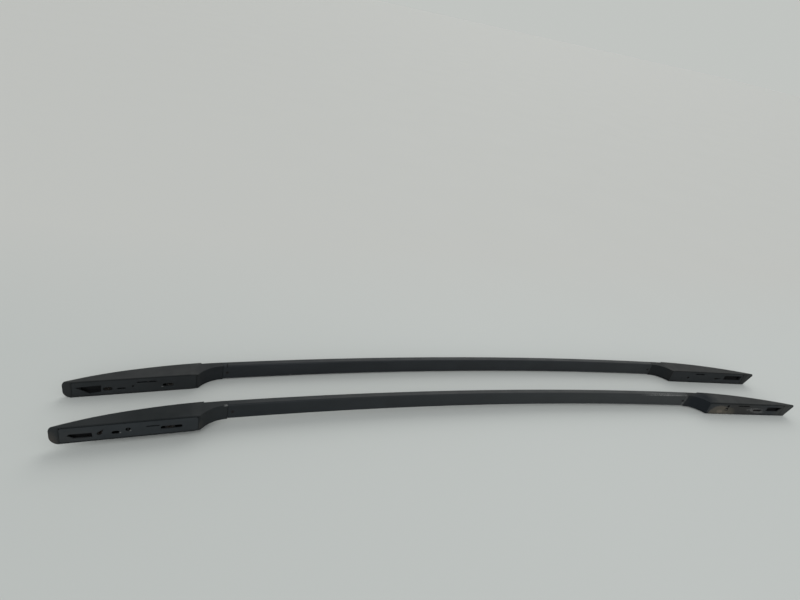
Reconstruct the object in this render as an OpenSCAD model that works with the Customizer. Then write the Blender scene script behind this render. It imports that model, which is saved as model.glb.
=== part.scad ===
// Pair of raised roof side rails, lying on their sides with the undersides toward -Y.
// Each rail: an arched hollow bar, a long nose foot on its left and a shorter tail foot on its right.
// Inside one rail x runs from the nose tip to the tail tip, y is up when the rail is fitted on a roof,
// and z crosses the rail. The chord through the lowest points of the two feet is y = 0.

/* [Rail] */
// length of one rail over both tips
rail_len = 1750; // [1300:5:2200]
// width of the feet
rail_w = 37; // [32:0.5:46]
// height of the crown of the bar above the chord of the feet
crown_h = 87; // [75:0.5:110]
// how far the top of the bar falls from its crown to each seam
seam_drop = 20.5; // [14:0.5:30]

/* [Bar] */
// width of the bar
bar_w = 34; // [30:0.5:42]
// height of the bar
bar_t = 17.8; // [15:0.1:24]
// wall of the bar
bar_wall = 2.2; // [1.6:0.1:3]
// radius of the two upper corners, also used on the covers
top_r = 7; // [5:0.5:8]
// radius of the two lower corners of the bar
low_r = 3.5; // [2.5:0.5:5]

/* [Nose foot] */
// from the nose tip to the heel
nose_len = 236; // [200:1:280]
// from the heel to the seam with the bar
nose_neck = 50; // [40:1:70]
// height of the heel above the chord
nose_heel_h = 21; // [16:0.5:26]
// slope of the seat in degrees
nose_seat_a = 5.4; // [4.5:0.1:6]
// radius of the shoulder, next to the bar
shoulder_r = 1135; // [900:5:1600]
// where the shoulder turns into the nose curve, from the tip
nose_turn = 96; // [70:1:120]
// radius of the nose curve
nose_r = 600; // [450:5:900]
// radius of the nose corners seen from above
nose_corner = 12; // [6:0.5:15]
// height of the lower edge at the very tip of the nose
nose_tip_h = 4; // [2:0.5:8]

/* [Tail foot] */
// from the heel to the tail tip
tail_len = 280; // [240:1:330]
// from the seam with the bar to the heel
tail_neck = 48; // [40:1:70]
// height of the heel above the chord
tail_heel_h = 19.5; // [15:0.5:24]
// slope of the seat in degrees
tail_seat_a = 4.3; // [3.5:0.1:5]
// radius of the long tail curve
tail_r = 1400; // [1200:5:2000]
// length of the slanting cut at the tail tip
tail_cut = 22; // [10:1:30]
// height of the lower edge at the very tip of the tail
tail_tip_h = 1.2; // [0.5:0.1:4]

/* [Foot details] */
// radius of the hollow between heel and bar
heel_r = 64; // [55:1:80]
// how much the top of a foot stands over its neck
step_h = 0.8; // [0.4:0.1:1.2]
// wall of the covers
cover_wall = 2.5; // [2:0.1:3.2]
// groove between the rim of a cover and its seat pad
groove = 1.1; // [0.8:0.1:2]
// thickness of the seat pads
pad_t = 2.5; // [1.5:0.1:3.5]
// length of the tongue inside the bar
tongue_len = 72; // [50:1:110]
// outer radius of a threaded insert
insert_r = 5.5; // [4.5:0.1:6]
// radius of the bore of an insert
bore_r = 3.4; // [2.5:0.05:4.2]
// length of an insert
insert_len = 18; // [12:0.5:22]
// radius of the head of a joint screw
screw_head_r = 3.6; // [3:0.1:4.5]

/* [Fits] */
// gap between a cover and the foot inside it
cover_gap = 0.3; // [0.2:0.05:0.6]
// gap between a tongue and the bar
tongue_gap = 0.25; // [0.15:0.05:0.5]
// open line at each seam
seam_gap = 0.5; // [0.3:0.1:1]

/* [Pair] */
// distance between the two rails
pair_pitch = 133.6; // [120:0.1:220]
// how far the near rail lies to the right of the far one
pair_stagger = 8; // [0:0.5:40]
// height of the near rail's nose above the ground
nose_lift = 12; // [0:0.5:20]

/* [Hidden] */
$fn = 256;

eps = 0.02;
far_cut = 400;
side = (rail_w - bar_w) / 2;
z_mid = rail_w / 2;

// seams, crown arc
seam_f = nose_len + nose_neck;
seam_t = rail_len - tail_len - tail_neck;
half = (seam_t - seam_f) / 2;
crown_x = (seam_t + seam_f) / 2;
crown_r = (half * half + seam_drop * seam_drop) / (2 * seam_drop);
seam_a = asin(half / crown_r);
seam_h = crown_h - seam_drop;

// where the shoulder meets the nose curve
turn_a = asin(sin(seam_a) + (seam_f - nose_turn) / shoulder_r);
turn_h = seam_h - shoulder_r * (cos(seam_a) - cos(turn_a));
nose_end_a = asin(sin(turn_a) + (nose_turn + 8) / nose_r);
tail_end_a = asin(sin(seam_a) + (rail_len + 8 - seam_t) / tail_r);

// height of the top curve at x, on the nose foot and on the tail foot
function nose_top(x) = x > nose_turn
  ? seam_h - shoulder_r * (cos(seam_a) - cos(asin(sin(seam_a) + (seam_f - x) / shoulder_r)))
  : turn_h - nose_r * (cos(turn_a) - cos(asin(sin(turn_a) + (nose_turn - x) / nose_r)));
function tail_top(x) =
  seam_h - tail_r * (cos(seam_a) - cos(asin(sin(seam_a) + (x - seam_t) / tail_r)));

// heels and seats
heel_t = rail_len - tail_len;
nose_flat = nose_len - nose_heel_h / tan(nose_seat_a);
tail_flat = rail_len - tail_cut;
function nose_seat(x) = nose_heel_h - (nose_len - x) * tan(nose_seat_a);
function tail_seat(x) = tail_heel_h - (x - heel_t) * tan(tail_seat_a);

// centres of the hollows between heel and bar, tangent to the underside of the bar at the seams
hollow_fx = seam_f + (heel_r + bar_t) * sin(seam_a);
hollow_y = seam_h - (heel_r + bar_t) * cos(seam_a);
hollow_tx = seam_t - (heel_r + bar_t) * sin(seam_a);

// places along the seats: threaded inserts, slots, clips
nose_in_a = 0.322 * nose_len;
nose_in_b = 0.797 * nose_len;
tail_in_a = heel_t + 0.214 * tail_len;
tail_in_b = heel_t + 0.55 * tail_len;
low_z = 0.42 * rail_w;
high_z = 0.75 * rail_w;
clip_na = 0.436 * nose_len;
clip_nb = 0.622 * nose_len;
clip_ta = heel_t + 0.368 * tail_len;
clip_z = 0.56 * rail_w;
socket_x = heel_t + 0.646 * tail_len;
socket_l = 0.2 * tail_len;
socket_w = 0.41 * rail_w;
insert_hole = insert_r + 1.2;
socket_z = 0.57 * rail_w;
socket_d = 9;
foot_end = socket_x + socket_l + 8;
boss = insert_r + 3;
web_z = cover_wall + cover_gap + 2.6;

// tabs, clips and screws
tab_t = 2.4;
tab_w = 9;
clip_t = 0.8;
clip_w = 7;
clip_v = pad_t + 1.4;
clip_leg = 7;
screw_r = 1.8;
screw_len = 12;
screw_in = 9;

// distance along a seat from its heel for a place given by its x
function on_nose(x) = (nose_len - x) / cos(nose_seat_a);
function on_tail(x) = (x - heel_t) / cos(tail_seat_a);

// what a rounded corner takes away; the material lies toward sx and sz from the corner
module corner(x, z, sx, sz, r) {
  translate([x, z]) mirror([sx < 0 ? 1 : 0, 0]) mirror([0, sz < 0 ? 1 : 0]) difference() {
    translate([-1, -1]) square([r + 1, r + 1]);
    translate([r, r]) circle(r);
  }
}

// a section with two rounded upper corners; x is measured from the top curve, y across the rail
module crest(w, z0, top, depth, r) {
  difference() {
    translate([top - depth, z0]) square([depth, w]);
    corner(top, z0, -1, 1, r);
    corner(top, z0 + w, -1, -1, r);
  }
}

// a section with four rounded corners
module tube_section(w, z0, top, depth, r_up, r_low) {
  difference() {
    crest(w, z0, top, depth, r_up);
    corner(top - depth, z0, 1, 1, r_low);
    corner(top - depth, z0 + w, 1, -1, r_low);
  }
}

// a section carried along an arc that runs to the left from a point with a given slope;
// it starts early by some length
module run_left(r, x, y, slope, turn, early = 0) {
  lead = early / r * 180 / PI;
  translate([x, y, 0]) rotate([0, 0, slope]) translate([0, -r, 0]) rotate([0, 0, 90 - lead])
    rotate_extrude(angle = turn + lead) translate([r, 0]) children();
}

// the same to the right, where slope is how steeply the curve falls at the start
module run_right(r, x, y, slope, turn, early = 0) {
  lead = early / r * 180 / PI;
  translate([x, y, 0]) mirror([1, 0, 0]) rotate([0, 0, slope]) translate([0, -r, 0])
    rotate([0, 0, 90 - lead]) rotate_extrude(angle = turn + lead) translate([r, 0]) children();
}

// the crown arc between the seams, shortened at both ends by cut
module bar_arc(cut) {
  a = seam_a - cut / crown_r * 180 / PI;
  translate([crown_x, crown_h - crown_r, 0]) rotate([0, 0, 90 - a])
    rotate_extrude(angle = 2 * a) translate([crown_r, 0]) children();
}

// frames on the seats: origin at the heel, x along the seat away from the bar, y into the foot
module nose_frame() {
  translate([nose_len, nose_heel_h, 0]) rotate([0, 0, nose_seat_a]) mirror([1, 0, 0]) children();
}

module tail_frame() {
  translate([heel_t, tail_heel_h, 0]) rotate([0, 0, -tail_seat_a]) children();
}

// shapes square to a seat: u along it, v into the foot, z across the rail
module seat_pin(u, z, v0, v1, r) {
  translate([u, v0, z]) rotate([-90, 0, 0]) cylinder(r = r, h = v1 - v0);
}

module seat_box(u0, u1, z0, z1, v0, v1) {
  translate([u0, v0, z0]) cube([u1 - u0, v1 - v0, z1 - z0]);
}

module seat_slot(u0, u1, z, w, v0, v1) {
  seat_box(u0 + w / 2, u1 - w / 2, z - w / 2, z + w / 2, v0, v1);
  seat_pin(u0 + w / 2, z, v0, v1, w / 2);
  seat_pin(u1 - w / 2, z, v0, v1, w / 2);
}

// side views of the feet up to x_end, drawn in by d and cut at v above their seats
module nose_side(d, v, x_end) {
  w = v / cos(nose_seat_a);
  c = max(d, v);
  polygon([
    [-9, crown_h], [-9, nose_tip_h * (1 + 9 / nose_flat) + c], [nose_flat + d, c],
    [nose_flat + d + 1, nose_seat(nose_flat + d + 1) + w], [x_end, nose_seat(x_end) + w],
    [x_end, crown_h]]);
}

module tail_side(d, v, x_end) {
  w = v / cos(tail_seat_a);
  c = max(d, v);
  polygon([
    [rail_len + 9, crown_h], [rail_len + 9, tail_tip_h * (1 + 9 / tail_cut) + c],
    [tail_flat - d, tail_seat(tail_flat) + c], [tail_flat - d - 1, tail_seat(tail_flat - d - 1) + w],
    [x_end, tail_seat(x_end) + w], [x_end, crown_h]]);
}

// what is cut off in plan: the rounded nose, the slanting tail, the narrowing toward the necks
module nose_trim(d) {
  k = (side + 0.1) / 17;
  translate([-20, -9]) square([20 + d, rail_w + 18]);
  corner(d, d, 1, 1, nose_corner - d);
  corner(d, rail_w - d, 1, -1, nose_corner - d);
  for (m = [0, 1]) translate([0, m * rail_w]) mirror([0, m])
    polygon([[nose_len - 30, d - 18 * k], [nose_len + 20, d + 32 * k], [nose_len + 20, -9],
      [nose_len - 30, -9]]);
}

module tail_trim(d) {
  k = (side + 0.1) / 17;
  q = (rail_len - d - tail_flat - 2) / (0.8 * rail_w - d);
  polygon([[tail_flat + 2 - (d + 9) * q, -9], [rail_len - d, 0.8 * rail_w],
    [rail_len - d, rail_w + 9], [rail_len + 30, rail_w + 9], [rail_len + 30, -9]]);
  polygon([[rail_len - d + 6, rail_w - 12], [rail_len - 16, rail_w - d + 10],
    [rail_len + 30, rail_w + 20]]);
  for (m = [0, 1]) translate([0, m * rail_w]) mirror([0, m])
    polygon([[heel_t + 30, d - 18 * k], [heel_t - 20, d + 32 * k], [heel_t - 20, -9],
      [heel_t + 30, -9]]);
}

module across() {
  translate([0, 0, -1]) linear_extrude(rail_w + 2) children();
}

module upright() {
  translate([0, far_cut, 0]) rotate([90, 0, 0]) linear_extrude(2 * far_cut) children();
}

module beyond(x) {
  translate([x, -9, -9]) cube([99, 99, 99]);
}

// solid feet with all faces moved inward by d and the seat moved up by v; they start early at
// the seam when they serve as a cavity
module nose_solid(d, v, early = 0) {
  difference() {
    union() {
      difference() {
        intersection() {
          union() {
            run_left(nose_r, nose_turn, turn_h, turn_a, nose_end_a - turn_a)
              crest(rail_w - 2 * d, d, step_h - d, 90, top_r - d);
            run_right(shoulder_r, nose_turn, turn_h, -turn_a, turn_a - seam_a)
              crest(rail_w - 2 * d, d, step_h - d, 90, top_r - d);
          }
          across() nose_side(d, v, nose_len + 8 - d);
        }
        upright() nose_trim(d);
      }
      intersection() {
        run_left(shoulder_r, seam_f, seam_h, seam_a, (nose_neck + 18) / shoulder_r * 180 / PI,
          early)
          crest(bar_w - 2 * d, side + d, -d, 80, top_r - d);
        across() nose_side(d, v + 0.5, seam_f + 12);
      }
    }
    translate([hollow_fx, hollow_y, -2]) cylinder(r = heel_r + d, h = rail_w + 4);
  }
}

module tail_solid(d, v, early = 0) {
  difference() {
    union() {
      difference() {
        intersection() {
          run_right(tail_r, seam_t, seam_h, seam_a, tail_end_a - seam_a)
            crest(rail_w - 2 * d, d, step_h - d, 90, top_r - d);
          across() tail_side(d, v, heel_t - 8 + d);
        }
        upright() tail_trim(d);
      }
      intersection() {
        run_right(tail_r, seam_t, seam_h, seam_a, (tail_neck + 18) / tail_r * 180 / PI, early)
          crest(bar_w - 2 * d, side + d, -d, 80, top_r - d);
        across() tail_side(d, v + 0.5, seam_t - 12);
      }
    }
    translate([hollow_tx, hollow_y, -2]) cylinder(r = heel_r + d, h = rail_w + 4);
  }
}

// the tongue of a foot, a plug for the hollow of the bar
module tongue_section() {
  t = bar_wall + tongue_gap;
  tube_section(bar_w - 2 * t, side + t, -t, bar_t - 2 * t, top_r - t, low_r - t);
}

// screws through the underside of the bar into the tongues, screw_in from each seam
module screw_places() {
  for (s = [-1, 1])
    translate([crown_x, crown_h - crown_r, 0])
      rotate([0, 0, s * (seam_a - screw_in / crown_r * 180 / PI)])
        translate([0, crown_r - bar_t, z_mid]) rotate([-90, 0, 0]) children();
}

module screw_body(extra) {
  translate([0, 0, -extra]) cylinder(r = screw_head_r, h = extra + 0.4);
  translate([0, 0, 0.4]) cylinder(r1 = screw_head_r, r2 = screw_r, h = 1.6);
  cylinder(r = screw_r, h = screw_len);
}

module bar() {
  color([0.12, 0.12, 0.13]) difference() {
    bar_arc(seam_gap) tube_section(bar_w, side, 0, bar_t, top_r, low_r);
    bar_arc(-3) tube_section(bar_w - 2 * bar_wall, side + bar_wall, -bar_wall,
      bar_t - 2 * bar_wall, top_r - bar_wall, low_r - bar_wall);
    screw_places() screw_body(2);
  }
}

// tabs inside a cover that pass through the windows of the foot and carry the spring clips
module tab(u, height) {
  seat_box(u - tab_t / 2, u + tab_t / 2, clip_z - tab_w / 2, clip_z + tab_w / 2, clip_v, height);
}

module nose_cover() {
  color([0.10, 0.10, 0.11]) {
    difference() {
      nose_solid(0, 0);
      nose_solid(cover_wall, -6, 3);
    }
    intersection() {
      nose_frame() {
        tab(on_nose(clip_na), 60);
        tab(on_nose(clip_nb), 60);
      }
      nose_solid(cover_wall / 2, 0);
    }
  }
}

module tail_cover() {
  color([0.10, 0.10, 0.11]) {
    difference() {
      tail_solid(0, 0);
      difference() {
        tail_solid(cover_wall, -6, 3);
        beyond(foot_end + cover_gap);
      }
    }
    intersection() {
      tail_frame() tab(on_tail(clip_ta), 60);
      tail_solid(cover_wall / 2, 0);
    }
  }
}

// spring clip around the end of a tab
module clip(u) {
  difference() {
    seat_box(u - tab_t / 2 - clip_t, u + tab_t / 2 + clip_t, clip_z - clip_w / 2,
      clip_z + clip_w / 2, clip_v - clip_t, clip_v + clip_leg);
    seat_box(u - tab_t / 2, u + tab_t / 2, clip_z - tab_w, clip_z + tab_w, clip_v, clip_v + 40);
  }
}

module cover_clips() {
  color([0.65, 0.65, 0.66]) {
    nose_frame() {
      clip(on_nose(clip_na));
      clip(on_nose(clip_nb));
    }
    tail_frame() clip(on_tail(clip_ta));
  }
}

// window in a foot for a tab and its clip
module window(u, height) {
  seat_box(u - tab_t / 2 - clip_t, u + tab_t / 2 + clip_t, clip_z - clip_w / 2 - 1,
    clip_z + clip_w / 2 + 1, 0, height);
}

// pocket in the underside of a foot between two places along its seat
module nose_pocket(x0, x1) {
  h = (nose_top(x0) - nose_seat(x0)) * cos(nose_seat_a) - cover_wall - 3;
  seat_box(on_nose(x1), on_nose(x0), web_z, rail_w - web_z, -1, h);
}

module tail_pocket(x0, x1) {
  h = (tail_top(x1) - tail_seat(x1)) * cos(tail_seat_a) - cover_wall - 3;
  seat_box(on_tail(x0), on_tail(x1), web_z, rail_w - web_z, -1, h);
}

module nose_foot() {
  color([0.16, 0.16, 0.16]) difference() {
    union() {
      nose_solid(cover_wall + cover_gap, pad_t);
      run_right(crown_r, seam_f, seam_h, -seam_a, tongue_len / crown_r * 180 / PI)
        tongue_section();
    }
    nose_frame() {
      nose_pocket(0.13 * nose_len, nose_in_a - boss);
      nose_pocket(nose_in_a + boss, clip_na + 16);
      nose_pocket(clip_na + 19, nose_in_b - boss);
      nose_pocket(nose_in_b + boss, 0.945 * nose_len);
      window(on_nose(clip_na), 60);
      window(on_nose(clip_nb), 60);
      seat_pin(on_nose(nose_in_a), low_z, 0, insert_len, insert_r);
      seat_pin(on_nose(nose_in_b), low_z, 0, insert_len, insert_r);
    }
    screw_places() cylinder(r = screw_r, h = screw_len);
  }
}

module tail_foot() {
  color([0.16, 0.16, 0.16]) difference() {
    union() {
      tail_solid(cover_wall + cover_gap, pad_t);
      run_left(crown_r, seam_t, seam_h, -seam_a, tongue_len / crown_r * 180 / PI)
        tongue_section();
    }
    tail_frame() {
      tail_pocket(heel_t + 0.05 * tail_len, tail_in_a - boss);
      tail_pocket(tail_in_a + boss, clip_ta + 8);
      tail_pocket(clip_ta + 11, tail_in_b - boss);
      seat_box(on_tail(socket_x), on_tail(socket_x + socket_l), socket_z - socket_w / 2,
        socket_z + socket_w / 2, -1, socket_d);
      window(on_tail(clip_ta), 60);
      seat_pin(on_tail(tail_in_a), low_z, 0, insert_len, insert_r);
      seat_pin(on_tail(tail_in_b), low_z, 0, insert_len, insert_r);
    }
    beyond(foot_end);
    screw_places() cylinder(r = screw_r, h = screw_len);
  }
}

// plate with rounded ends
module pad_plate(u0, u1) {
  r = 6;
  z0 = cover_wall + groove;
  z1 = rail_w - cover_wall - groove;
  difference() {
    seat_box(u0, u1, z0, z1, 0, pad_t);
    for (u = [u0, u1], z = [z0, z1])
      translate([u, -1, z]) mirror([u == u1 ? 1 : 0, 0, 0]) mirror([0, 0, z == z1 ? 1 : 0])
        difference() {
          translate([-1, 0, -1]) cube([r + 1, pad_t + 2, r + 1]);
          translate([r, -1, r]) rotate([-90, 0, 0]) cylinder(r = r, h = pad_t + 4);
        }
  }
}

module nose_pad() {
  color([0.2, 0.2, 0.2]) nose_frame() difference() {
    pad_plate(cover_wall + groove + 2, on_nose(nose_flat + 7));
    seat_box(on_nose(0.29 * nose_len - 6), on_nose(0.125 * nose_len), low_z - 6, high_z, -1, 9);
    seat_pin(on_nose(nose_in_a), low_z, -1, 9, insert_hole);
    seat_slot(on_nose(clip_na) - 7, on_nose(clip_na) + 6, clip_z - 3, 7, -1, 9);
    seat_slot(on_nose(0.7 * nose_len), on_nose(0.545 * nose_len), high_z - 4, 3.6, -1, 9);
    seat_pin(on_nose(0.515 * nose_len), low_z, -1, 9, 3.2);
    seat_slot(on_nose(0.885 * nose_len), on_nose(0.73 * nose_len), low_z, 6.5, -1, 9);
    seat_pin(on_nose(nose_in_b), low_z, -1, 9, insert_hole);
  }
}

module tail_pad() {
  color([0.2, 0.2, 0.2]) tail_frame() difference() {
    pad_plate(cover_wall + groove + 2, on_tail(tail_flat - 5));
    seat_pin(on_tail(tail_in_a), low_z, -1, 9, insert_hole);
    seat_pin(on_tail(tail_in_a) - 2, high_z + 1, -1, 9, 2.1);
    seat_slot(on_tail(heel_t + 0.3 * tail_len), on_tail(heel_t + 0.43 * tail_len), high_z, 4.2,
      -1, 9);
    seat_pin(on_tail(tail_in_b), low_z, -1, 9, insert_hole);
    seat_slot(on_tail(tail_in_b), on_tail(tail_in_b) + 19, low_z - 3, 4, -1, 9);
    seat_box(on_tail(socket_x), on_tail(socket_x + socket_l), socket_z - socket_w / 2,
      socket_z + socket_w / 2, -1, 9);
  }
}

// threaded insert with a blind bore and a chamfered mouth
module insert(u) {
  difference() {
    seat_pin(u, low_z, 0, insert_len, insert_r);
    seat_pin(u, low_z, -1, insert_len - 2, bore_r);
  }
}

module nose_inserts() {
  color([0.72, 0.72, 0.7]) nose_frame() {
    insert(on_nose(nose_in_a));
    insert(on_nose(nose_in_b));
  }
}

module tail_inserts() {
  color([0.72, 0.72, 0.7]) tail_frame() {
    insert(on_tail(tail_in_a));
    insert(on_tail(tail_in_b));
  }
}

module joint_screws() {
  color([0.25, 0.25, 0.26]) screw_places() difference() {
    screw_body(0);
    translate([0, 0, -1]) cylinder(r = screw_head_r * 0.45, h = 2.2, $fn = 6);
  }
}

// where the two rails lie
module near_rail() {
  translate([rail_len / 2 + pair_stagger / 2, -(pair_pitch + crown_h) / 2, 0])
    rotate([0, asin(nose_lift / rail_len), 0]) translate([-rail_len, 0, 0]) children();
}

module far_rail() {
  translate([-rail_len / 2 - pair_stagger / 2, (pair_pitch - crown_h) / 2, 0]) children();
}

near_rail() bar();  // near_bar
near_rail() nose_cover();  // near_nose_cover
near_rail() tail_cover();  // near_tail_cover
near_rail() nose_foot();  // near_nose_foot
near_rail() tail_foot();  // near_tail_foot
near_rail() nose_pad();  // near_nose_pad
near_rail() tail_pad();  // near_tail_pad
near_rail() nose_inserts();  // near_nose_inserts
near_rail() tail_inserts();  // near_tail_inserts
near_rail() cover_clips();  // near_cover_clips
near_rail() joint_screws();  // near_joint_screws
far_rail() bar();  // far_bar
far_rail() nose_cover();  // far_nose_cover
far_rail() tail_cover();  // far_tail_cover
far_rail() nose_foot();  // far_nose_foot
far_rail() tail_foot();  // far_tail_foot
far_rail() nose_pad();  // far_nose_pad
far_rail() tail_pad();  // far_tail_pad
far_rail() nose_inserts();  // far_nose_inserts
far_rail() tail_inserts();  // far_tail_inserts
far_rail() cover_clips();  // far_cover_clips
far_rail() joint_screws();  // far_joint_screws
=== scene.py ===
from math import acos, asin, atan2, cos, hypot, pi, radians, sin, tan

import bmesh
import bpy
from mathutils import Matrix, Vector


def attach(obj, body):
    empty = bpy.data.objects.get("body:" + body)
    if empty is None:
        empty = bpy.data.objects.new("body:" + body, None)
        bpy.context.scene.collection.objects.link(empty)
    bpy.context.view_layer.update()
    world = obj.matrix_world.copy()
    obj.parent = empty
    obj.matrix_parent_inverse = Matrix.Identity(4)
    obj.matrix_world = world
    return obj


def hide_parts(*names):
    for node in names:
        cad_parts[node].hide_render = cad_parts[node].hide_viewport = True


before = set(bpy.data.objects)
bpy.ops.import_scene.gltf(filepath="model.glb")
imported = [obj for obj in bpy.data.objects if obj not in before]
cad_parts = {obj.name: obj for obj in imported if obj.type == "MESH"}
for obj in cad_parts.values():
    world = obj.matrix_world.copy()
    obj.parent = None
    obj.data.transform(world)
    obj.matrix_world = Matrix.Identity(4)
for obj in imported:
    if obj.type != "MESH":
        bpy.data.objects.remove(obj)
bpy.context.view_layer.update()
scene = bpy.context.scene

# The same figures as in the part's source, in mm and degrees.
RAIL_LEN = 1750
RAIL_W = 37
CROWN_H = 87
PITCH = 133.6
STAGGER = 8
NOSE_LIFT = 12
NOSE_LEN, NOSE_HEEL_H, NOSE_SEAT = 236, 21, radians(5.4)
TAIL_LEN, TAIL_HEEL_H, TAIL_SEAT = 280, 19.5, radians(4.3)
HEEL_T = RAIL_LEN - TAIL_LEN
LOW_Z = 0.42 * RAIL_W


def near_place(x, y, z):
    """A point of the near rail, given in the rail's own mm, in the shared frame."""
    a = asin(NOSE_LIFT / RAIL_LEN)
    x -= RAIL_LEN
    x, z = x * cos(a) + z * sin(a), z * cos(a) - x * sin(a)
    return Vector((x + RAIL_LEN / 2 + STAGGER / 2, y - (PITCH + CROWN_H) / 2, z)) / 1000


def far_place(x, y, z):
    return Vector((x - RAIL_LEN / 2 - STAGGER / 2, y + (PITCH - CROWN_H) / 2, z)) / 1000


PLACE = {"near": near_place, "far": far_place}


def on_seat(side, part, x, v, z):
    """A point v above the seat of a foot, at x along the rail and z across it."""
    if part == "nose":
        x, y = x - v * sin(NOSE_SEAT), NOSE_HEEL_H - (NOSE_LEN - x) * tan(NOSE_SEAT) + v * cos(NOSE_SEAT)
    else:
        x, y = x + v * sin(TAIL_SEAT), TAIL_HEEL_H - (x - HEEL_T) * tan(TAIL_SEAT) + v * cos(TAIL_SEAT)
    return PLACE[side](x, y, z)


class Nodes:
    """Short calls for a material's node tree."""

    def __init__(self, name):
        self.mat = bpy.data.materials.new(name)
        self.mat.use_nodes = True
        self.tree = self.mat.node_tree
        self.tree.nodes.clear()
        self.out = self.tree.nodes.new("ShaderNodeOutputMaterial")
        self.bsdf = self.tree.nodes.new("ShaderNodeBsdfPrincipled")
        self.tree.links.new(self.bsdf.outputs[0], self.out.inputs["Surface"])
        self.coords = self.tree.nodes.new("ShaderNodeTexCoord").outputs["Object"]

    def put(self, socket, value):
        if isinstance(value, bpy.types.NodeSocket):
            self.tree.links.new(value, socket)
        elif value is not None:
            if hasattr(socket.default_value, "__len__") and not hasattr(value, "__len__"):
                value = (value,) * len(socket.default_value)
            if hasattr(value, "__len__") and len(value) == 3 and len(socket.default_value) == 4:
                value = (*value, 1.0)
            socket.default_value = value

    def math(self, op, a, b=None, clamp=False):
        n = self.tree.nodes.new("ShaderNodeMath")
        n.operation = op
        n.use_clamp = clamp
        self.put(n.inputs[0], a)
        if b is not None:
            self.put(n.inputs[1], b)
        return n.outputs[0]

    def noise(self, scale, detail=3.0, rough=0.5, stretch=None, offset=(0, 0, 0)):
        n = self.tree.nodes.new("ShaderNodeTexNoise")
        n.inputs["Scale"].default_value = scale
        n.inputs["Detail"].default_value = detail
        n.inputs["Roughness"].default_value = rough
        self.put(n.inputs["Vector"], self.mapped(stretch or (1, 1, 1), offset))
        return n.outputs["Fac"]

    def mapped(self, stretch, offset):
        m = self.tree.nodes.new("ShaderNodeMapping")
        m.inputs["Scale"].default_value = stretch
        m.inputs["Location"].default_value = offset
        self.tree.links.new(self.coords, m.inputs["Vector"])
        return m.outputs[0]

    def ramp(self, fac, lo, hi, a=0.0, b=1.0):
        n = self.tree.nodes.new("ShaderNodeMapRange")
        n.clamp = True
        self.put(n.inputs["Value"], fac)
        for key, value in zip(("From Min", "From Max", "To Min", "To Max"), (lo, hi, a, b)):
            n.inputs[key].default_value = value
        return n.outputs[0]

    def mix(self, fac, a, b):
        n = self.tree.nodes.new("ShaderNodeMix")
        n.data_type = "RGBA"
        n.clamp_factor = True
        self.put(n.inputs["Factor"], fac)
        self.put(n.inputs[6], a)
        self.put(n.inputs[7], b)
        return n.outputs[2]

    def axis(self, which):
        n = self.tree.nodes.new("ShaderNodeSeparateXYZ")
        self.tree.links.new(self.coords, n.inputs[0])
        return n.outputs["XYZ".index(which)]

    def spot(self, centre, radii, tilt=0.0, soft=0.35, wobble=0.25):
        """A mask that is 1 inside an ellipsoid of the frame (in mm), with a ragged rim.

        tilt turns it about Z, in degrees."""
        m = self.tree.nodes.new("ShaderNodeMapping")
        m.vector_type = "TEXTURE"
        m.inputs["Location"].default_value = [c / 1000 for c in centre]
        m.inputs["Rotation"].default_value = (0, 0, radians(tilt))
        m.inputs["Scale"].default_value = [r / 1000 for r in radii]
        self.tree.links.new(self.coords, m.inputs["Vector"])
        length = self.tree.nodes.new("ShaderNodeVectorMath")
        length.operation = "LENGTH"
        self.tree.links.new(m.outputs[0], length.inputs[0])
        d = length.outputs["Value"]
        if wobble:
            d = self.math("ADD", d, self.ramp(self.noise(420, 3), 0.3, 0.7, -wobble, wobble))
        return self.ramp(d, 1 - soft / 2, 1 + soft / 2, 1.0, 0.0)

    def bump(self, height, strength, distance=0.001, normal=None):
        n = self.tree.nodes.new("ShaderNodeBump")
        n.inputs["Strength"].default_value = strength
        n.inputs["Distance"].default_value = distance
        self.put(n.inputs["Height"], height)
        if normal is not None:
            self.put(n.inputs["Normal"], normal)
        return n.outputs[0]

    def bevel(self, radius):
        n = self.tree.nodes.new("ShaderNodeBevel")
        n.samples = 4
        n.inputs["Radius"].default_value = radius
        return n.outputs[0]

    def facing_up(self, lo, hi):
        """A mask for faces that look up: where dust settles, and where a lighter top is painted as a painted
        highlight.
        """
        g = self.tree.nodes.new("ShaderNodeNewGeometry")
        s = self.tree.nodes.new("ShaderNodeSeparateXYZ")
        self.tree.links.new(g.outputs["Normal"], s.inputs[0])
        return self.ramp(s.outputs["Z"], lo, hi)


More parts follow.
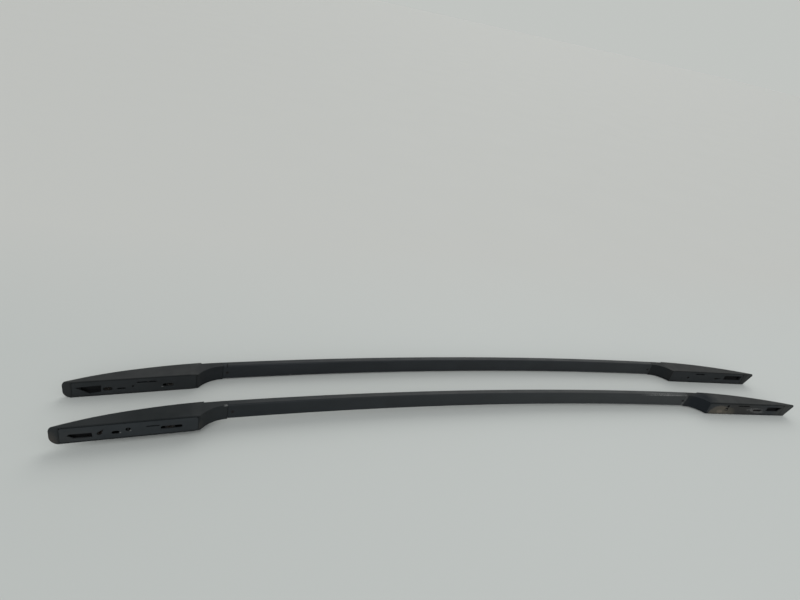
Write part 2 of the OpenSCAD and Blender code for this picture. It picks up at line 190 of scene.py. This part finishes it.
def dark_finish(name, base, rough, gloss, dust, grain=900, film=0.0, right=0.0, edge=0.0006,
                marks=()):
    """Black paint or moulded plastic: cloudy tone, fine grain, dust on top, which also serves as a painted
    highlight on faces that look up, and the given marks.

    dust lies on the faces that look up, and its pale tone there is also a painted highlight; film lies
    everywhere in specks, and right is a haze that grows toward the right end.

    A mark is a centre and radii in mm, a tilt, a colour, how strong it is, how soft its rim is,
    how ragged it is, and how broken up it is inside."""
    n = Nodes(name)
    tone = n.ramp(n.noise(14, 4, 0.6, (1, 2.2, 2.2)), 0.35, 0.7)
    colour = n.mix(tone, base, [c * 1.3 for c in base])
    if right:
        colour = n.mix(n.ramp(n.axis("X"), -0.5, 0.5, 0.0, right), colour, DUST)
    speck = n.ramp(n.noise(1500, 2, 0.6), 0.66, 0.78, 0.0, 0.5)
    patchy = n.ramp(n.noise(60, 5, 0.65), 0.38, 0.75, 0.45, 1.0)
    # Faces that look up get a paler tone: dust, and also a painted highlight on the lit top.
    top_dust_and_sheen = n.math("MULTIPLY", n.facing_up(0.9, 0.995), patchy)
    cover = n.math("ADD", n.math("MULTIPLY", top_dust_and_sheen, dust), n.math("MULTIPLY", speck, film), clamp=True)
    colour = n.mix(cover, colour, DUST)
    r = n.math("ADD", n.ramp(n.noise(35, 4), 0.3, 0.7, rough - 0.06, rough + 0.08),
               n.math("MULTIPLY", cover, 0.6), clamp=True)
    for centre, radii, tilt, tint, amount, soft, wobble, broken in marks:
        m = n.math("MULTIPLY", n.spot(centre, radii, tilt, soft, wobble), amount)
        if broken:
            worn = n.noise(520, 4, 0.7, (0.45, 1, 1), (centre[0] / 97, 0.3, 0.7))
            m = n.math("MULTIPLY", m, n.ramp(worn, broken, broken + 0.12))
        colour = n.mix(m, colour, tint)
        r = n.math("ADD", r, n.math("MULTIPLY", m, 0.3), clamp=True)
    n.put(n.bsdf.inputs["Base Color"], colour)
    n.put(n.bsdf.inputs["Roughness"], r)
    n.bsdf.inputs["Specular IOR Level"].default_value = gloss
    n.put(n.bsdf.inputs["Normal"], n.bump(n.noise(grain, 2, 0.5), 0.12, 0.0003, n.bevel(edge)))
    return n.mat


def metal_finish(name, base, rust, amount, rough, glints=()):
    """Dull plated or blackened steel with dirt and rust, bright only at the given glints, which are painted
    highlights: spots of clean metal.
    """
    n = Nodes(name)
    dirt = n.ramp(n.noise(260, 4, 0.65), 0.5 - amount * 0.3, 0.75 - amount * 0.3)
    # Each glint is a painted highlight: a spot where the dirt is left out so the bare metal shines.
    for centre, radius in glints:
        glint_spot = n.spot(centre, (radius,) * 3, 0, 0.5, 0.2)
        dirt = n.math("MULTIPLY", dirt, n.math("SUBTRACT", 1.0, glint_spot))
    n.put(n.bsdf.inputs["Base Color"], n.mix(dirt, base, rust))
    n.put(n.bsdf.inputs["Metallic"], n.ramp(dirt, 0, 1, 1.0, 0.0))
    n.bsdf.inputs["Specular IOR Level"].default_value = 0.2
    n.put(n.bsdf.inputs["Roughness"], n.ramp(dirt, 0, 1, rough, 0.8))
    n.put(n.bsdf.inputs["Normal"], n.bump(n.noise(700, 3), 0.2, 0.0003, n.bevel(0.0004)))
    return n.mat


def dress(node, material):
    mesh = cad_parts[node].data
    mesh.materials.clear()
    mesh.materials.append(material)


# Pads under the feet: one plate each with its openings, as seen in the photo. Places are along
# the rail and across it, in mm.
def ring(x, z, r, n=28):
    return [(x + r * cos(2 * pi * i / n), z + r * sin(2 * pi * i / n)) for i in range(n)]


def slot_shape(x0, x1, z, w, n=10):
    r = w / 2
    right = [(x1 - r + r * sin(pi * i / n), z - r * cos(pi * i / n)) for i in range(n + 1)]
    left = [(x0 + r - r * sin(pi * i / n), z + r * cos(pi * i / n)) for i in range(n + 1)]
    return right + left


def drop(x, z, r, tip_x, tip_z, n=24):
    """A round hole drawn out to a point."""
    far, aim = hypot(tip_x - x, tip_z - z), atan2(tip_z - z, tip_x - x)
    a = acos(r / far)
    arc = [aim + a + (2 * pi - 2 * a) * i / n for i in range(n + 1)]
    return [(x + r * cos(t), z + r * sin(t)) for t in arc] + [(tip_x, tip_z)]


def plate_shape(x0, x1, z0, z1, r=4.5, n=8):
    out = []
    for cx, cz, a in ((x1 - r, z0 + r, -90), (x1 - r, z1 - r, 0), (x0 + r, z1 - r, 90), (x0 + r, z0 + r, 180)):
        for i in range(n + 1):
            t = radians(a + 90 * i / n)
            out.append((cx + r * cos(t), cz + r * sin(t)))
    return out


def plate_mesh(name, shapes, thick, edge, put):
    """A plate from a rim and holes, with slightly rounded edges; put places its points."""
    curve = bpy.data.curves.new(name, "CURVE")
    curve.dimensions = "2D"
    curve.fill_mode = "BOTH"
    curve.extrude = thick / 2 - edge
    curve.bevel_depth = edge
    curve.bevel_resolution = 1
    curve.offset = -edge
    for shape in shapes:
        spline = curve.splines.new("POLY")
        spline.points.add(len(shape) - 1)
        for p, (x, z) in zip(spline.points, shape):
            p.co = (x, z, 0, 1)
        spline.use_cyclic_u = True
    flat = bpy.data.objects.new(name + "_flat", curve)
    scene.collection.objects.link(flat)
    bpy.context.view_layer.update()
    mesh = bpy.data.meshes.new_from_object(flat.evaluated_get(bpy.context.evaluated_depsgraph_get()))
    bpy.data.objects.remove(flat)
    bpy.data.curves.remove(curve)
    mesh.name = name
    for v in mesh.vertices:
        v.co = put(v.co.x, v.co.z + thick / 2, v.co.y)
    return mesh


def finish_mesh(mesh, smooth=False):
    mesh.materials.clear()
    bm = bmesh.new()
    bm.from_mesh(mesh)
    bmesh.ops.remove_doubles(bm, verts=bm.verts, dist=1e-6)
    bmesh.ops.recalc_face_normals(bm, faces=bm.faces)
    for f in bm.faces:
        f.smooth = smooth
    bm.to_mesh(mesh)
    bm.free()


def new_piece(name, mesh, material, node):
    obj = bpy.data.objects.new(name, mesh)
    mesh.materials.append(material)
    scene.collection.objects.link(obj)
    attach(obj, "root")
    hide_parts(node)
    return obj


PAD_T = 2.4
NOSE_PAD = (15.6, 235.7)
TAIL_PAD = (1472.6, 1714.4)
PAD_Z = {"near": (2.8, 32.8), "far": (2.8, 33.9)}
NOSE_INSERTS = (0.322 * NOSE_LEN, 0.797 * NOSE_LEN)
TAIL_INSERTS = (HEEL_T + 0.214 * TAIL_LEN, HEEL_T + 0.55 * TAIL_LEN)
SOCKET = {"near": [(1661, 13.8), (1700, 13.8), (1711, 27.4), (1661, 27.4)],
          "far": [(1650, 13.4), (1709, 13.4), (1711, 28), (1652, 28)]}
OPENINGS = {
    ("near", "nose"): [[(27, 16), (31, 19.5), (64.5, 19), (65.5, 8.6), (38, 9)],
                       drop(76, LOW_Z, 3.9, 82.5, 24.5),
                       slot_shape(94.5, 107, 14.5, 7.4), ring(120.5, 19, 4.3),
                       slot_shape(149, 171, 21.6, 2.8), slot_shape(172.5, 209, 15.8, 7.2)],
    ("far", "nose"): [[(21.5, 22.6), (65.3, 24.6), (64.5, 8.3), (46, 5.9)],
                      slot_shape(68, 85, 14.7, 8.6), slot_shape(92, 107, 13.6, 3.6), ring(120, 17.5, 2.2),
                      slot_shape(127, 162, 25.6, 3.2), slot_shape(173, 193, 15.2, 7.4)],
    ("near", "tail"): [ring(TAIL_INSERTS[0] + 0.8, LOW_Z, 5.2), ring(1531, 27.4, 2.5),
                       slot_shape(1563, 1600, 27.6, 3.8), slot_shape(1618.5, 1645, 15.2, 7.6), SOCKET["near"]],
    ("far", "tail"): [ring(TAIL_INSERTS[0], LOW_Z, 3.4), slot_shape(1549, 1580, 28.2, 4.0),
                      drop(1624, LOW_Z, 3.7, 1643, 17.5), SOCKET["far"]],
}


def pad_mesh(side, part):
    x0, x1 = NOSE_PAD if part == "nose" else TAIL_PAD
    shapes = [plate_shape(x0, x1, *PAD_Z[side])] + OPENINGS[side, part]
    mesh = plate_mesh(f"{side}_{part}_pad_plate", shapes, PAD_T, 0.25,
                      lambda x, v, z: on_seat(side, part, x, v, z))
    finish_mesh(mesh)
    return mesh


def insert_mesh(side, part, places, n=32):
    """Two threaded inserts, set just under the pad, with a real helical thread in each bore."""
    top, deep, back, pitch, rows = PAD_T + 0.15, 16.0, 18.0, 1.25, 44
    profile = [(5.45, back), (5.45, top + 0.3), (5.15, top), (4.1, top)]
    bore = [top + 0.5 + (deep - top - 0.5) * i / rows for i in range(rows + 1)]
    bm = bmesh.new()
    for x in places:
        rings = []
        for r, v in profile:
            rings.append([(r, v)] * n)
        for v in bore:
            line = []
            for i in range(n):
                wave = abs(((v / pitch + i / n) % 1.0) * 2 - 1)
                line.append((3.4 + 0.45 * wave, v))
            rings.append(line)
        grid = []
        for line in rings:
            made = []
            for i, (r, v) in enumerate(line):
                a = 2 * pi * i / n
                made.append(bm.verts.new(on_seat(side, part, x + r * cos(a), v, LOW_Z + r * sin(a))))
            grid.append(made)
        for a, b in zip(grid, grid[1:]):
            for i in range(n):
                j = (i + 1) % n
                bm.faces.new((a[i], a[j], b[j], b[i]))
        bm.faces.new(grid[0])
        bm.faces.new(grid[-1])
    mesh = bpy.data.meshes.new(f"{side}_{part}_threads")
    bm.to_mesh(mesh)
    bm.free()
    finish_mesh(mesh)
    return mesh


# Blacks of the parts and colours of the marks on them, linear; some marks are painted shade or painted
# highlights, as noted below.
BAR = {"near": (0.0125, 0.0152, 0.0172), "far": (0.0150, 0.0175, 0.0200)}
COVER = {"near": (0.0125, 0.0148, 0.0160), "far": (0.0150, 0.0165, 0.0175)}
TAIL_COVER = {"near": (0.0130, 0.0145, 0.0152), "far": (0.0110, 0.0120, 0.0126)}
PAD = {"near": (0.0240, 0.0275, 0.0300), "far": (0.0225, 0.0250, 0.0265)}
CASTING = (0.0090, 0.0095, 0.0100)
DUST = (0.20, 0.20, 0.19)
# Worn paint; also used for a painted glint on the near nose pad.
WORN_AND_GLINT = (0.30, 0.30, 0.29)
# White scratches; also used for a painted glint on the near nose pad.
WHITE_SCRATCH_AND_GLINT = (0.55, 0.55, 0.53)
TAN = (0.085, 0.078, 0.062)
CREAM = (0.16, 0.135, 0.11)
# Brown tint on the near nose tip, and a painted highlight with a brownish tint on the near nose heel corner.
BROWN_AND_HIGHLIGHT = (0.060, 0.054, 0.047)
EARTH = (0.0345, 0.0325, 0.0295)
# Painted shade: a cool dark tone on the recessed necks, which face away from the light.
BLUE_NECK_SHADE = (0.0085, 0.0115, 0.0150)
SHADE = (0.0050, 0.0075, 0.0085)
GREY = (0.050, 0.050, 0.047)
# A black spot on the far bar, and painted shade round a hole in the near tail pad.
BLACK_AND_HOLE_SHADE = (0.002, 0.002, 0.0025)

BAR_MARKS = {
    "near": [((480.2, -57, 36.7), (60, 4, 1.6), -3.3, WORN_AND_GLINT, 0.42, 0.5, 0.3, 0.40),
             ((462.2, -50.5, 39.5), (42, 1.3, 3), -3.3, WORN_AND_GLINT, 0.42, 0.5, 0.3, 0.43),
             ((543.7, -61.2, 10.3), (1.6, 4, 6), 0, WHITE_SCRATCH_AND_GLINT, 0.22, 0.6, 0.4, 0.45),
             ((546.7, -61.2, 23.3), (1.1, 4, 15), 0, WHITE_SCRATCH_AND_GLINT, 0.14, 0.6, 0.4, 0.46)],
    "far": [((-448.4, 81.1, 5.1), (1.6, 3, 1.2), 0, WORN_AND_GLINT, 0.3, 0.5, 0.2, 0),
            ((-583.2, 76.6, 34.1), (1.4, 5, 4), 0, BLACK_AND_HOLE_SHADE, 0.9, 0.4, 0.2, 0)],
}
NOSE_MARKS = {
    "near": [((-586.3, -61.8, 44.7), (5, 4, 1.0), -5, WORN_AND_GLINT, 0.45, 0.6, 0.2, 0),
             ((-871, -108.5, 18), (11, 9, 15), 0, BROWN_AND_HIGHLIGHT, 0.75, 1.2, 0.3, 0),
             ((-708, -85, 37), (62, 45, 30), 0, SHADE, 0.55, 1.4, 0.1, 0),
             # Painted highlight on the near nose heel corner.
             ((-631.4, -88, 21.6), (7, 4, 9), 0, BROWN_AND_HIGHLIGHT, 0.25, 0.8, 0.3, 0)],
    "far": [((-588.5, 72.3, 15.6), (1.1, 3, 5), 0, WORN_AND_GLINT, 0.42, 0.6, 0.2, 0),
            ((-589.6, 72.2, 7.1), (1.0, 3, 5), 0, WORN_AND_GLINT, 0.42, 0.6, 0.2, 0),
            # Painted shade on the far nose neck.
            ((-612, 62.8, 16.6), (32, 26, 30), 0, BLUE_NECK_SHADE, 0.4, 0.7, 0.1, 0)],
}
TAIL_MARKS = {
    # Painted shade on the near tail neck.
    "near": [((588.2, -73.5, 21.3), (38, 27, 34), 0, BLUE_NECK_SHADE, 0.9, 0.7, 0.1, 0),
             ((549.7, -61.4, 27.3), (1.1, 4, 10), 0, WHITE_SCRATCH_AND_GLINT, 0.25, 0.6, 0.4, 0.44),
             ((842, -108.5, 18), (24, 9, 20), 0, GREY, 0.6, 0.8, 0.2, 0),
             ((638, -93.5, 4), (30, 8, 25), 0, CREAM, 0.38, 0.15, 0.12, 0),
             ((652, -93.5, 3), (40, 9, 22), 0, TAN, 0.70, 0.4, 0.12, 0)],
    # Painted shade on the far tail neck.
    "far": [((562, 67.8, 18.6), (26, 24, 30), 0, BLUE_NECK_SHADE, 0.3, 0.7, 0.1, 0)],
}
PAD_MARKS = {
    # Painted highlights: two small glints on the near nose pad.
    "near": [((-762.7, -101.4, 24.7), (1.4, 3, 1.2), 0, WHITE_SCRATCH_AND_GLINT, 0.18, 0.6, 0.2, 0),
             ((-747, -99.9, 27.1), (1.5, 3, 1.4), 0, WORN_AND_GLINT, 0.3, 0.6, 0.2, 0),
             ((842, -108.5, 18), (24, 9, 20), 0, GREY, 0.6, 0.8, 0.2, 0),
             ((700, -98, 12), (75, 14, 34), 0, EARTH, 0.7, 1.2, 0.1, 0),
             ((638, -93.5, 4), (30, 8, 25), 0, CREAM, 0.38, 0.15, 0.12, 0),
             ((652, -93.5, 3), (40, 9, 22), 0, TAN, 0.70, 0.4, 0.12, 0),
             ((641, -94, 10), (9, 6, 5), 0, CREAM, 0.6, 0.6, 0.4, 0.3),
             ((-838, -108, 18), (30, 12, 22), 0, GREY, 0.3, 1.2, 0.2, 0),
             # Painted shade: a dark rim round the small hole in the near tail pad.
             ((660.6, -95.5, 27.2), (3.5, 5, 3.5), 0, BLACK_AND_HOLE_SHADE, 0.9, 0.4, 0.2, 0),
             ((752, -102.5, 17.5), (27, 6, 5.5), 4, WORN_AND_GLINT, 0.40, 0.6, 0.5, 0.46),
             ((768, -103, 11), (20, 6, 4), 4, WORN_AND_GLINT, 0.3, 0.6, 0.4, 0.44)],
    "far": [((-706.3, 38.3, 11.5), (1.8, 3, 1.4), 0, WORN_AND_GLINT, 0.28, 0.6, 0.2, 0)],
}
# Painted highlights on the far nose inserts: centre in mm and radius.
GLINTS = {"near": [],
          "far": [((-802.5, 36.3, 19.6), 1.3), ((-695, 45.8, 17.1), 1.3)]}
# Dust on the covers' faces that look up; its pale tone also paints their lighter top, a painted highlight.
COVER_DUST_AND_SHEEN = {"near": 0.01, "far": 0.09}
RIGHT_HAZE = {"near": 0.095, "far": 0.038}

for side in ("near", "far"):
    bar = dark_finish(side + "_bar_paint", BAR[side], 0.42, 0.2, 0.01, film=0.02,
                      right=RIGHT_HAZE[side], marks=BAR_MARKS[side])
    nose = dark_finish(side + "_nose_plastic", COVER[side], 0.48, 0.18, COVER_DUST_AND_SHEEN[side],
                       film=0.03, edge=0.0022, marks=NOSE_MARKS[side])
    tail = dark_finish(side + "_tail_plastic", TAIL_COVER[side], 0.48, 0.18, 0.03,
                       film=0.04, edge=0.0018, marks=TAIL_MARKS[side])
    pad = dark_finish(side + "_pad_plastic", PAD[side], 0.62, 0.12, 0.03, grain=600,
                      film=0.06, marks=PAD_MARKS[side])
    casting = dark_finish(side + "_foot_casting", CASTING, 0.6, 0.12, 0.03, grain=350, film=0.04)
    steel = metal_finish(side + "_insert_steel", (0.60, 0.59, 0.56), (0.013, 0.010, 0.008), 1.0, 0.3,
                         GLINTS[side])
    clip = metal_finish(side + "_clip_steel", (0.12, 0.12, 0.12), (0.02, 0.017, 0.014), 0.7, 0.45)
    screw = metal_finish(side + "_screw_steel", (0.035, 0.035, 0.037), (0.012, 0.010, 0.009), 0.3, 0.45)
    dress(side + "_bar", bar)
    dress(side + "_nose_cover", nose)
    dress(side + "_tail_cover", tail)
    for part in ("nose", "tail"):
        dress(f"{side}_{part}_foot", casting)
        new_piece(f"{side}_{part}_pad_plate", pad_mesh(side, part), pad, f"{side}_{part}_pad")
        places = NOSE_INSERTS if part == "nose" else TAIL_INSERTS
        new_piece(f"{side}_{part}_threads", insert_mesh(side, part, places), steel,
                  f"{side}_{part}_inserts")
    dress(side + "_cover_clips", clip)
    dress(side + "_joint_screws", screw)


# Floor, plain and pale, a little darker to the left as in the photo.
def plane(name, size, centre):
    mesh = bpy.data.meshes.new(name)
    h = size / 2
    mesh.from_pydata([(-h, -h, 0), (h, -h, 0), (h, h, 0), (-h, h, 0)], [], [(0, 1, 2, 3)])
    obj = bpy.data.objects.new(name, mesh)
    obj.location = centre
    scene.collection.objects.link(obj)
    return obj


FLOOR = (0.605, 0.625, 0.598)
# Painted shade: the darker tone of the floor toward the left.
FLOOR_LEFT_SHADE = (0.550, 0.570, 0.543)
FLOOR_BACK = (0.610, 0.613, 0.580)
floor = plane("floor", 90, (0, 0, -0.0002))
n = Nodes("floor_paint")
tone = n.mix(n.ramp(n.axis("X"), -1.6, 0.1), FLOOR_LEFT_SHADE, FLOOR)
n.put(n.bsdf.inputs["Base Color"], n.mix(n.ramp(n.axis("Y"), 0.2, 0.8), tone, FLOOR_BACK))
n.put(n.bsdf.inputs["Roughness"], n.ramp(n.noise(3, 3), 0.3, 0.7, 0.65, 0.75))
n.bsdf.inputs["Specular IOR Level"].default_value = 0.2
floor.data.materials.append(n.mat)

# Soft light from all round, and the camera sees the same pale tone beyond the floor.
world = bpy.data.worlds.new("world")
scene.world = world
world.use_nodes = True
tree = world.node_tree
bg = tree.nodes["Background"]
bg.inputs["Color"].default_value = (0.95, 0.975, 1.0, 1)
bg.inputs["Strength"].default_value = 0.60
seen = tree.nodes.new("ShaderNodeBackground")
seen.inputs["Color"].default_value = (0.535, 0.555, 0.535, 1)
seen.inputs["Strength"].default_value = 1.0
path = tree.nodes.new("ShaderNodeLightPath")
choose = tree.nodes.new("ShaderNodeMixShader")
seen_by = None
for kind in ("Is Camera Ray", "Is Glossy Ray", "Is Transmission Ray"):
    if seen_by is None:
        seen_by = path.outputs[kind]
    else:
        add = tree.nodes.new("ShaderNodeMath")
        add.operation = "ADD"
        add.use_clamp = True
        tree.links.new(seen_by, add.inputs[0])
        tree.links.new(path.outputs[kind], add.inputs[1])
        seen_by = add.outputs[0]
tree.links.new(seen_by, choose.inputs[0])
tree.links.new(bg.outputs[0], choose.inputs[1])
tree.links.new(seen.outputs[0], choose.inputs[2])
tree.links.new(choose.outputs[0], tree.nodes["World Output"].inputs["Surface"])

# Two wide soft suns: one from behind on the right throws the shadows toward the viewer, and
# one from the front fills the undersides.
def soft_sun(name, toward, strength, colour, spread):
    data = bpy.data.lights.new(name, "SUN")
    data.energy = strength
    data.angle = radians(spread)
    data.color = colour
    obj = bpy.data.objects.new(name, data)
    obj.rotation_euler = (-Vector(toward)).to_track_quat("-Z", "Y").to_euler()
    scene.collection.objects.link(obj)


soft_sun("back_sun", (0.45, 0.75, 0.85), 0.55, (1.0, 0.99, 0.97), 42)
soft_sun("front_sun", (-0.3, -0.8, 0.6), 0.85, (0.98, 0.99, 1.0), 60)

# The camera stands where the photo's did, solved from the room's lines and the rails' outlines.
CAM_AT = Vector((-0.6239, -0.8944, 0.7779))
CAM_RIGHT = Vector((0.94432, -0.26313, 0.19752))
CAM_DOWN = Vector((0.03557, -0.51518, -0.85635))
CAM_FORWARD = Vector((0.32709, 0.81569, -0.47713))
cam_data = bpy.data.cameras.new("camera")
cam_data.sensor_width = 36
cam_data.lens = 24.75
cam_data.clip_start = 0.01
camera = bpy.data.objects.new("camera", cam_data)
turn = Matrix((CAM_RIGHT, -CAM_DOWN, -CAM_FORWARD)).transposed()
camera.rotation_mode = "QUATERNION"
camera.rotation_quaternion = turn.to_quaternion()
camera.location = CAM_AT
scene.collection.objects.link(camera)
scene.camera = camera
scene.view_settings.view_transform = "Standard"
